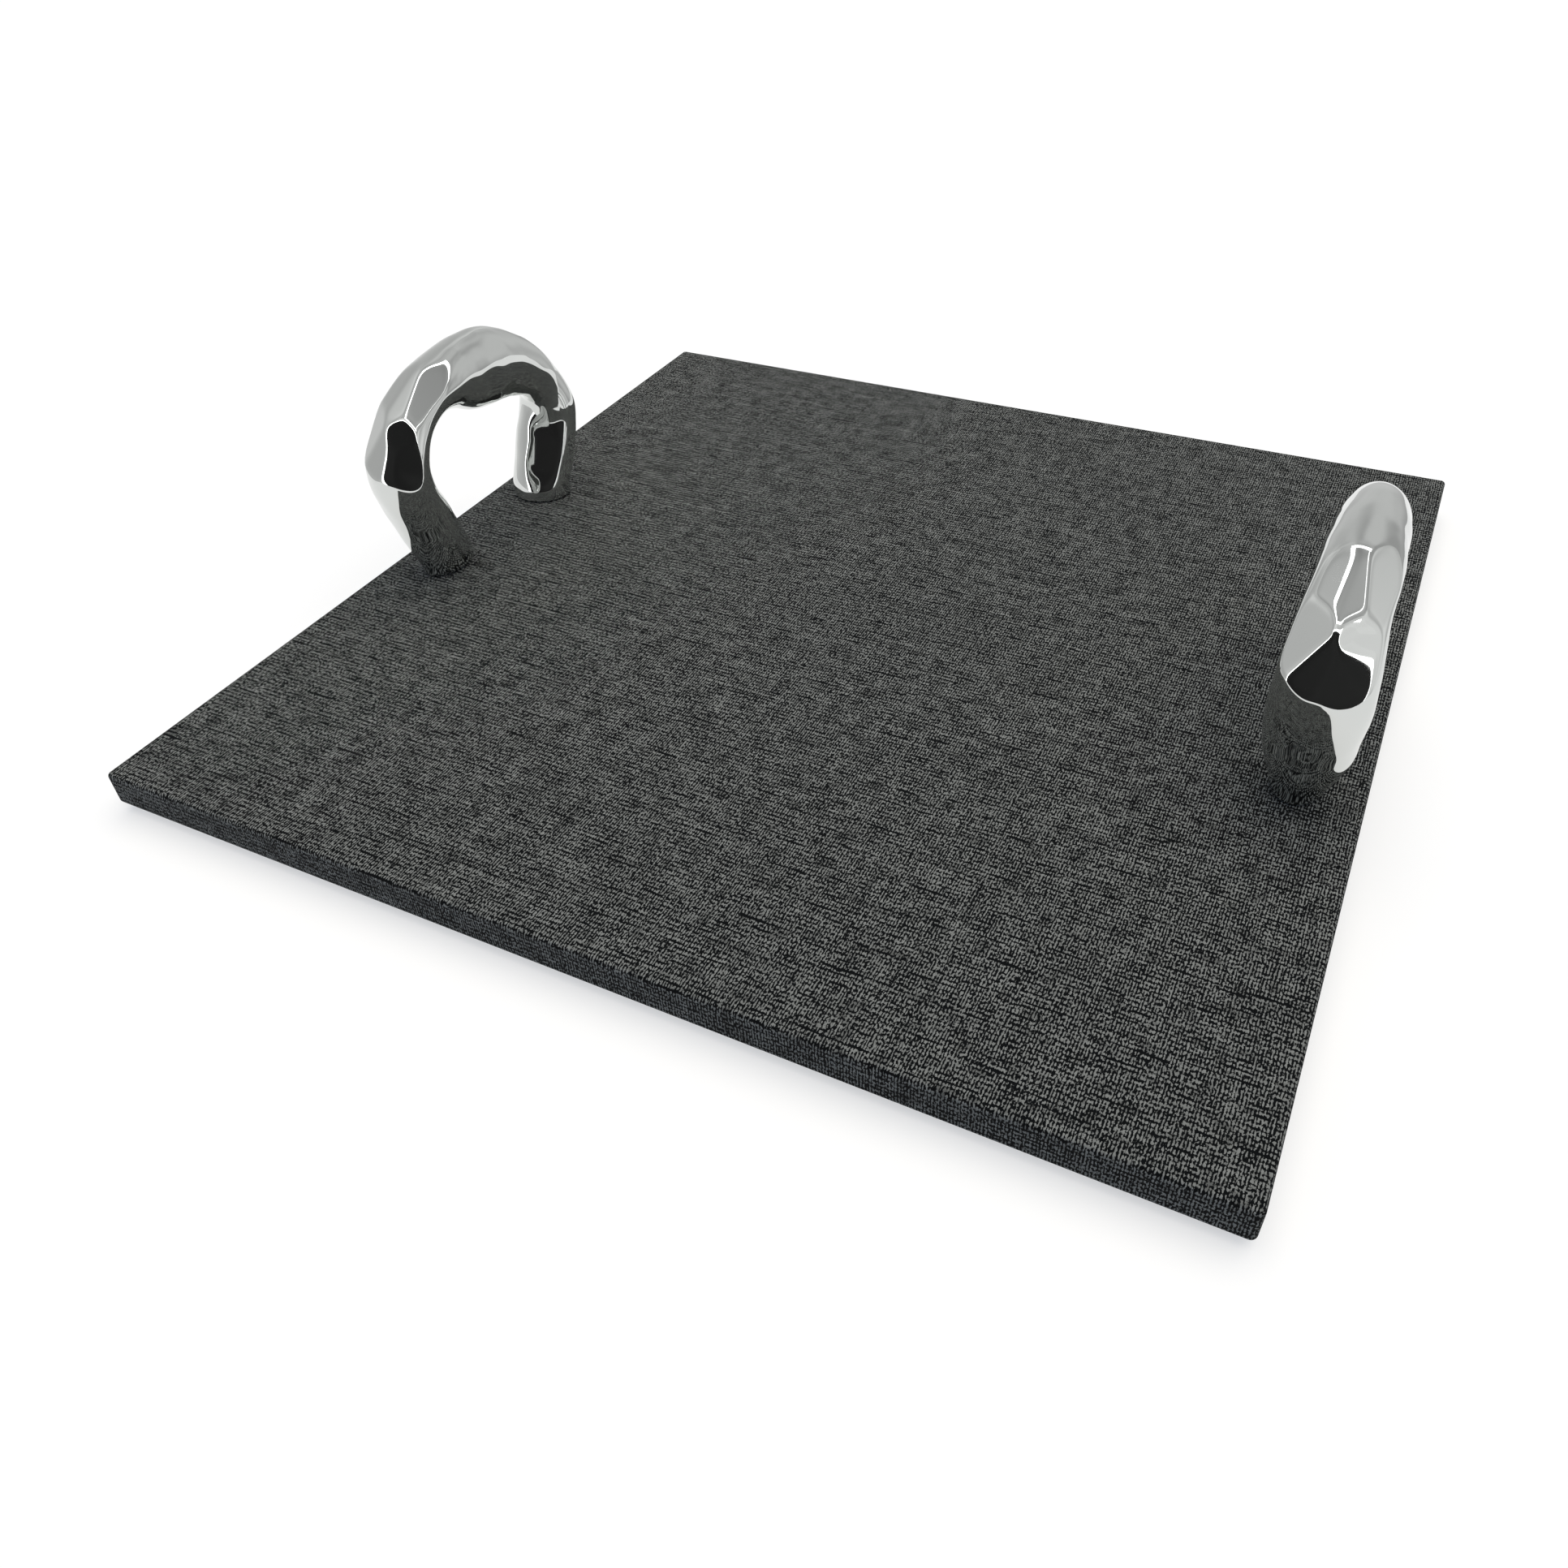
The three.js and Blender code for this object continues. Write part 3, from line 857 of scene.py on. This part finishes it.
def make_handle_tree():
    nodes, given, result = new_group(
        "cast_handles", "GeometryNodeTree",
        {
            "Centre Line": ("Geometry", None),
            "Rings": ("Int", RINGS),
            "Sides": ("Int", SIDES),
            "Ankle": ("Float", 8 * MM),
            "Unevenness": ("Float", 2.6 * MM),
            "Wave": ("Float", 22 * MM),
            "Left Place": ("Vector", None),
            "Step To Right": ("Vector", None),
            "Finish": ("Material", None),
        },
        {"Handles": "Geometry"},
    )
    casting = swell_skin(nodes, given, bend_bar(nodes, given))
    for flat in FLATS.values():
        casting = press(nodes, casting, flat, FLAT_SOFTNESS)
    casting = shade_casting(nodes, casting)
    places = nodes.add("GeometryNodeMeshLine", {
        "Count": 2, "Start Location": given["Left Place"], "Offset": given["Step To Right"],
    }).outputs[0]
    pair = nodes.add("GeometryNodeInstanceOnPoints", {"Points": places, "Instance": casting})
    pair = nodes.add("GeometryNodeRealizeInstances", {0: pair.outputs[0]}).outputs[0]
    for side, *flat in LONE_FLATS.values():
        origin = Vector((side * HANDLE_X, 0.0, handle_low.z))
        pair = press(nodes, pair, flat, LONE_SOFTNESS, origin)
    pair = nodes.add("GeometryNodeSetMaterial", {"Geometry": pair, "Material": given["Finish"]})
    nodes.feed(result["Handles"], pair.outputs[0])
    return nodes.tree


handle_tree = make_handle_tree()
print("handle tree:", len(handle_tree.nodes), "nodes")

# %% [markdown]
# ## From tree to mesh
# A tree is only a recipe, and it runs as a modifier on a starting mesh. A finished piece is a plain
# mesh, so the recipe is run once, its result is copied, and the modifier goes.

# %% Handles


def grown_mesh(name, start, tree, **inputs):
    """Runs a Geometry Nodes tree on a starting mesh and returns the result as a plain mesh."""
    source = add_object(name + "_source", start)
    modifier = source.modifiers.new("grow", "NODES")
    modifier.node_group = tree
    for socket in tree.interface.items_tree:
        key = socket.name.replace(" ", "_")
        if socket.item_type == "SOCKET" and socket.in_out == "INPUT" and key in inputs:
            modifier[socket.identifier] = inputs[key]
    evaluated = source.evaluated_get(bpy.context.evaluated_depsgraph_get())
    mesh = bpy.data.meshes.new_from_object(evaluated)
    mesh.name = name
    # The points that carry the copies leave an empty material slot
    for slot in reversed(range(len(mesh.materials))):
        if mesh.materials[slot] is None:
            mesh.materials.pop(index=slot)
    source.modifiers.remove(modifier)
    bpy.data.objects.remove(source)
    return mesh


finished_piece(
    "cast_handles",
    grown_mesh(
        "cast_handles", centre_line, handle_tree,
        Left_Place=(-HANDLE_X, 0.0, handle_low.z),
        Step_To_Right=(2 * HANDLE_X, 0.0, 0.0),
        Finish=chrome,
    ),
    chrome, "chrome", "handle_left", "handle_right",
)

# %% [markdown]
# ## The foot pads
# Four soft discs keep the felt off the table. Each could be a cylinder with a bevel, but one pad
# that is turned from a short outline is enough: Geometry Nodes sets it at the corners of a grid.

# %% One pad
pad_low, pad_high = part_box("foot_pad_left_front")
PAD_RADIUS = (pad_high.x - pad_low.x) / 2
PAD_EDGE = 0.6 * MM
PAD_EDGE_STEPS = 4
PAD_TOP_EDGE = 0.1 * MM
PAD_SIDES = 48


def make_pad():
    outline = []
    for step in range(PAD_EDGE_STEPS + 1):
        angle = math.radians(90) * step / PAD_EDGE_STEPS
        radius = PAD_RADIUS - PAD_EDGE * (1 - math.sin(angle))
        outline.append((radius, PAD_EDGE * (1 - math.cos(angle))))
    outline.append((PAD_RADIUS, pad_high.z - PAD_TOP_EDGE))
    outline.append((PAD_RADIUS - PAD_TOP_EDGE, pad_high.z))
    turns = [2 * math.pi * i / PAD_SIDES for i in range(PAD_SIDES)]
    bm = bmesh.new()
    skin_over(bm, [
        [Vector((r * math.cos(t), r * math.sin(t), z)) for t in turns] for r, z in outline
    ])
    for face in bm.faces:
        face.smooth = len(face.verts) == 4
    return made_mesh("pad", bm)


pad = make_pad()
print("pad of", len(pad.polygons), "faces")

# %% Foot pads
PAD_X = abs(pad_low.x + pad_high.x) / 2
PAD_Y = abs(pad_low.y + pad_high.y) / 2


def make_pad_tree():
    nodes, given, result = new_group(
        "foot_pads", "GeometryNodeTree",
        {
            "Pad": ("Geometry", None),
            "Length": ("Float", 2 * PAD_X),
            "Depth": ("Float", 2 * PAD_Y),
            "Finish": ("Material", None),
        },
        {"Pads": "Geometry"},
    )
    corners = nodes.add("GeometryNodeMeshGrid", {
        "Size X": given["Length"], "Size Y": given["Depth"], "Vertices X": 2, "Vertices Y": 2,
    }).outputs[0]
    pads = nodes.add("GeometryNodeInstanceOnPoints", {"Points": corners, "Instance": given["Pad"]})
    pads = nodes.add("GeometryNodeRealizeInstances", {0: pads.outputs[0]}).outputs[0]
    pads = nodes.add("GeometryNodeSetMaterial", {"Geometry": pads, "Material": given["Finish"]})
    nodes.feed(result["Pads"], pads.outputs[0])
    return nodes.tree


finished_piece(
    "foot_pads",
    grown_mesh(
        "foot_pads", pad, make_pad_tree(), Length=2 * PAD_X, Depth=2 * PAD_Y, Finish=rubber,
    ),
    rubber, "rubber",
    *[f"foot_pad_{side}_{end}" for side in ("left", "right") for end in ("front", "back")],
)

# %% [markdown]
# ## The hidden solids
# The core, the screws and their washers are inside the tray. They could be made again with threads
# and chamfers, but nothing shows them, and their measured solids are right as they are. So they
# only get a finish.

# %% Finishes of the hidden solids


def dress(name, material):
    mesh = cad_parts[name].data
    mesh.materials.clear()
    mesh.materials.append(material)


dress("core_board", fibreboard)
for side in ("left", "right"):
    for end in ("front", "back"):
        dress(f"handle_screw_{side}_{end}", zinc)
        dress(f"screw_washer_{side}_{end}", zinc)
print("dressed the core, screws and washers")

# %% [markdown]
# ## Sheets
# The wrap and the lining are sheets that were cut flat and then glued down. The wrap's corners
# are cut off on the slant, so that the hems meet there without lapping.

# %% [markdown]
# ## Floor and light
# The tray stands on a white floor under an even glow. More light would bleach the tray, so the
# floor and the sky are white only to rays that come from the camera or a mirror. The tray itself
# is lit by one wide, warm lamp overhead and a dim blue sky, and the floor keeps its soft shadow.

# %% Floor and sky
FLOOR_RADIUS = 8.0
FLOOR_SIDES = 96
FLOOR_DROP = 0.2 * MM
FLOOR_SHADE = 0.45
# How bright the floor looks, where 1 is white
FLOOR_SEEN = 1.02
SKY_LIGHT = (0.20, 0.27, 0.40)
WHITE = (1.0, 1.0, 1.0, 1.0)


def seen_directly(nodes):
    """1 for rays from the camera and for mirrored or refracted ones."""
    path = nodes.add("ShaderNodeLightPath").outputs
    seen = nodes.math("MAXIMUM", path["Is Camera Ray"], path["Is Glossy Ray"])
    return nodes.math("MAXIMUM", seen, path["Is Transmission Ray"])


def make_floor():
    material, nodes = empty_material("floor")
    paint = nodes.add("ShaderNodeBsdfDiffuse", {"Color": (FLOOR_SHADE,) * 3 + (1.0,)})
    lift = nodes.math("MULTIPLY", seen_directly(nodes), FLOOR_SEEN - FLOOR_SHADE)
    glow = nodes.add("ShaderNodeEmission", {"Strength": lift})
    both = nodes.add("ShaderNodeAddShader", {0: paint.outputs[0], 1: glow.outputs[0]})
    nodes.add("ShaderNodeOutputMaterial", {"Surface": both.outputs[0]})
    bm = bmesh.new()
    bmesh.ops.create_circle(bm, cap_ends=True, segments=FLOOR_SIDES, radius=FLOOR_RADIUS)
    floor = add_object("floor", made_mesh("floor", bm))
    floor.data.materials.append(material)
    floor.location.z = -FLOOR_DROP


def make_sky():
    world = bpy.data.worlds.new("sky")
    bpy.context.scene.world = world
    world.use_nodes = True
    world.node_tree.nodes.clear()
    nodes = Nodes(world.node_tree)
    shade = nodes.mix(seen_directly(nodes), (*SKY_LIGHT, 1.0), WHITE)
    sky = nodes.add("ShaderNodeBackground", {"Color": shade})
    nodes.add("ShaderNodeOutputWorld", {"Surface": sky.outputs[0]})


make_floor()
make_sky()
print("floor", FLOOR_RADIUS, "m in radius, sky", SKY_LIGHT)

# %% Overhead lamp
# The lamp and the sky add up to white, so that a colour looks about as it is written
LAMP_LIGHT = (0.82, 0.75, 0.62)
LAMP_SPREAD = 70
LAMP_TILT = (-8, 6, 0)


def make_overhead_lamp():
    data = bpy.data.lights.new("overhead", "SUN")
    # With this energy a white surface that faces the lamp is as bright as the lamp's colour
    data.energy = math.pi
    data.color = LAMP_LIGHT
    data.angle = math.radians(LAMP_SPREAD)
    lamp = add_object("overhead", data)
    lamp.rotation_euler = [math.radians(angle) for angle in LAMP_TILT]
    lamp.visible_glossy = False


make_overhead_lamp()
print("overhead lamp", LAMP_LIGHT)

# %% [markdown]
# ## What the chrome mirrors
# Bright metal shows nothing but its surroundings, so it gets some: a white tent with a dark opening
# at the front and a gap in the roof, both with lamps along their edges. A picture of a room could
# stand in for it, but plain cards are enough, and each can be moved by itself. They are where the
# walls, the openings and the lamps would be, and only mirror rays see them.

# %% Tent card
FOLDS_TO_A_METRE = 2.6
FOLD_SHADE, FOLD_LIGHT = 0.78, 1.25
UNSEEN_BY = ("camera", "diffuse", "transmission", "volume_scatter", "shadow")


def make_card(name, x, y, z, brightness):
    """A glowing card: two of x, y and z are spans in metres, and the third is where it stands."""
    material, nodes = empty_material(name)
    # Cloth is never lit quite evenly
    folds = nodes.noise(place_on_object(nodes), FOLDS_TO_A_METRE, 1.0, "3D")
    dim, bright = FOLD_SHADE * brightness, FOLD_LIGHT * brightness
    glow = nodes.add("ShaderNodeEmission", {"Strength": nodes.step(folds, 0.3, 0.7, dim, bright)})
    nodes.add("ShaderNodeOutputMaterial", {"Surface": glow.outputs[0]})
    spans = [span if isinstance(span, tuple) else (span,) for span in (x, y, z)]
    mesh = bpy.data.meshes.new(name)
    mesh.from_pydata(list(product(*spans)), [], [(0, 1, 3, 2)])
    mesh.materials.append(material)
    card = add_object(name, mesh)
    for ray in UNSEEN_BY:
        setattr(card, "visible_" + ray, False)


print("cards are hidden from", ", ".join(UNSEEN_BY), "rays")

# %% Sizes of the tent
TENT_LEFT, TENT_RIGHT = -0.42, 0.66
TENT_FRONT, TENT_BACK = -0.42, 0.50
TENT_TOP = 0.80
OPENING_LEFT, OPENING_RIGHT = -0.36, 0.57
OPENING_TOP = 0.55
GAP_LEFT, GAP_RIGHT = -0.10, 0.30
GAP_NEAR, GAP_FAR = -0.31, 0.31
# Widths of the lamps: two for the roof and above the opening, then left and right of the opening
WIDE_LAMP, SLIM_LAMP = 0.09, 0.05
LEFT_LAMP, RIGHT_LAMP = 0.07, 0.03
# The opening, the lamps beside it and the gap stand a little inside the cloth
OPENING_INSIDE, LAMP_INSIDE, GAP_INSIDE = 2 * MM, 3 * MM, 10 * MM
print("tent", round(TENT_RIGHT - TENT_LEFT, 2), "by", round(TENT_BACK - TENT_FRONT, 2), "m")

# %% Tent
TENT_X, TENT_Y, TENT_Z = (TENT_LEFT, TENT_RIGHT), (TENT_FRONT, TENT_BACK), (0.0, TENT_TOP)
OPENING_X, OPENING_Y = (OPENING_LEFT, OPENING_RIGHT), TENT_FRONT + OPENING_INSIDE
LAMP_Y, LAMP_TOP = TENT_FRONT + LAMP_INSIDE, OPENING_TOP + SLIM_LAMP
GAP_X, GAP_Y, GAP_Z = (GAP_LEFT, GAP_RIGHT), (GAP_NEAR, GAP_FAR), TENT_TOP - GAP_INSIDE
AROUND_GAP_X = (GAP_LEFT - WIDE_LAMP, GAP_RIGHT + WIDE_LAMP)
# Each card's x, y and z, and its brightness
TENT_CARDS = {
    "tent_wall_left": (TENT_LEFT, TENT_Y, TENT_Z, 0.70),
    "tent_wall_right": (TENT_RIGHT, TENT_Y, TENT_Z, 0.76),
    "tent_wall_back": (TENT_X, TENT_BACK, TENT_Z, 0.56),
    "tent_ceiling": (TENT_X, TENT_Y, TENT_TOP, 0.53),
    "tent_front": (TENT_X, TENT_FRONT, TENT_Z, 0.8),
    "tent_opening": (OPENING_X, OPENING_Y, (0.0, OPENING_TOP), 0.022),
    "tent_lamp_front": (OPENING_X, OPENING_Y, (OPENING_TOP, LAMP_TOP), 4.0),
    "tent_lamp_opening_left": ((TENT_LEFT, TENT_LEFT + LEFT_LAMP), LAMP_Y, (0.0, LAMP_TOP), 4.0),
    "tent_lamp_opening_right": (
        (OPENING_RIGHT, OPENING_RIGHT + RIGHT_LAMP), LAMP_Y, (0.0, LAMP_TOP), 3.0,
    ),
    "tent_lamp_left": ((GAP_LEFT - WIDE_LAMP, GAP_LEFT), GAP_Y, GAP_Z, 4.5),
    "tent_lamp_right": ((GAP_RIGHT, GAP_RIGHT + SLIM_LAMP), GAP_Y, GAP_Z, 2.0),
    "tent_lamp_near": (AROUND_GAP_X, (GAP_NEAR - WIDE_LAMP, GAP_NEAR), GAP_Z, 4.0),
    "tent_lamp_far": (AROUND_GAP_X, (GAP_FAR, GAP_FAR + WIDE_LAMP), GAP_Z, 3.0),
    "tent_roof_hole": (GAP_X, GAP_Y, GAP_Z, 0.46),
}
for name, card in TENT_CARDS.items():
    make_card(name, *card)
print("tent cards:", len(TENT_CARDS))
